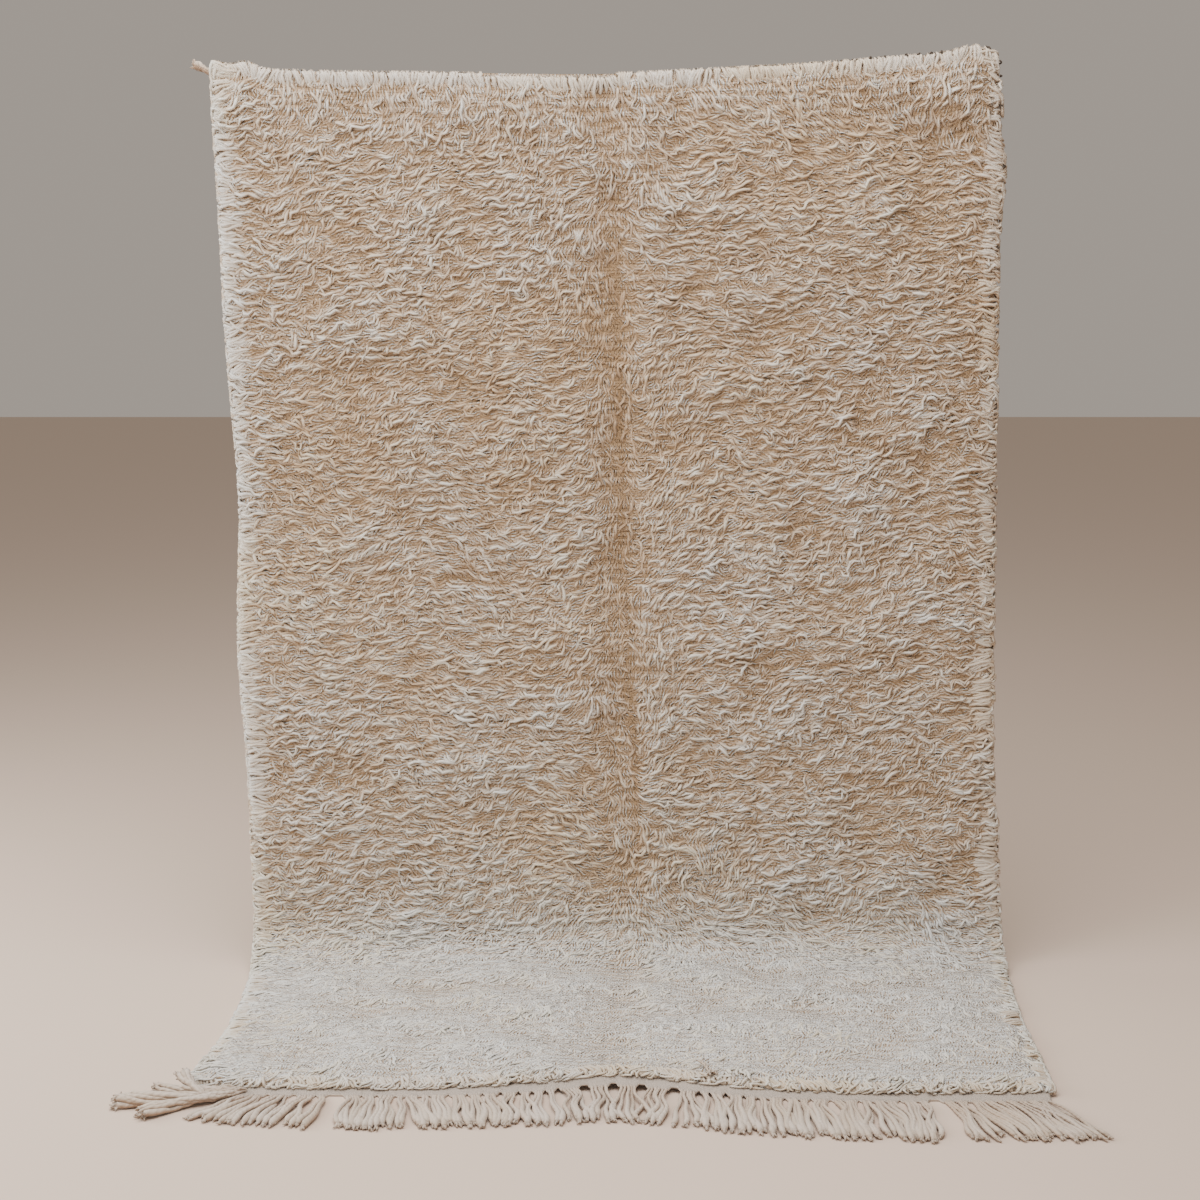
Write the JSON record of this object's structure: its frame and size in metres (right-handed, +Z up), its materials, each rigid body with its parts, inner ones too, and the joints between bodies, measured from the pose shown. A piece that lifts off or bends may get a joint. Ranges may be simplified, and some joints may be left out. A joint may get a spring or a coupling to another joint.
{
  "type": "beni ourain rug",
  "caption": "Ivory shag wool rug hung by its top edge, its lower end swept forward along the floor, with flat-woven end strips, long fringe and corner tassels.",
  "frame": {"origin": "middle of the footprint, on the floor under the rug", "axes": "+Z up the hanging part, -Y the way the pile faces and the lying part runs, +X to the right seen from the pile's side"},
  "size_m": [1.7055, 0.9047, 1.8311],
  "materials": {
    "ivory_wool": "long matt wool pile",
    "undyed_warp": "matt twisted yarn"
  },
  "bodies": {
    "root": {"pile_field": "ivory_wool", "front_fringe": "undyed_warp", "back_fringe": "undyed_warp", "front_left_tassel": "undyed_warp", "top_left_tassel": "undyed_warp"}
  },
  "joints": []
}
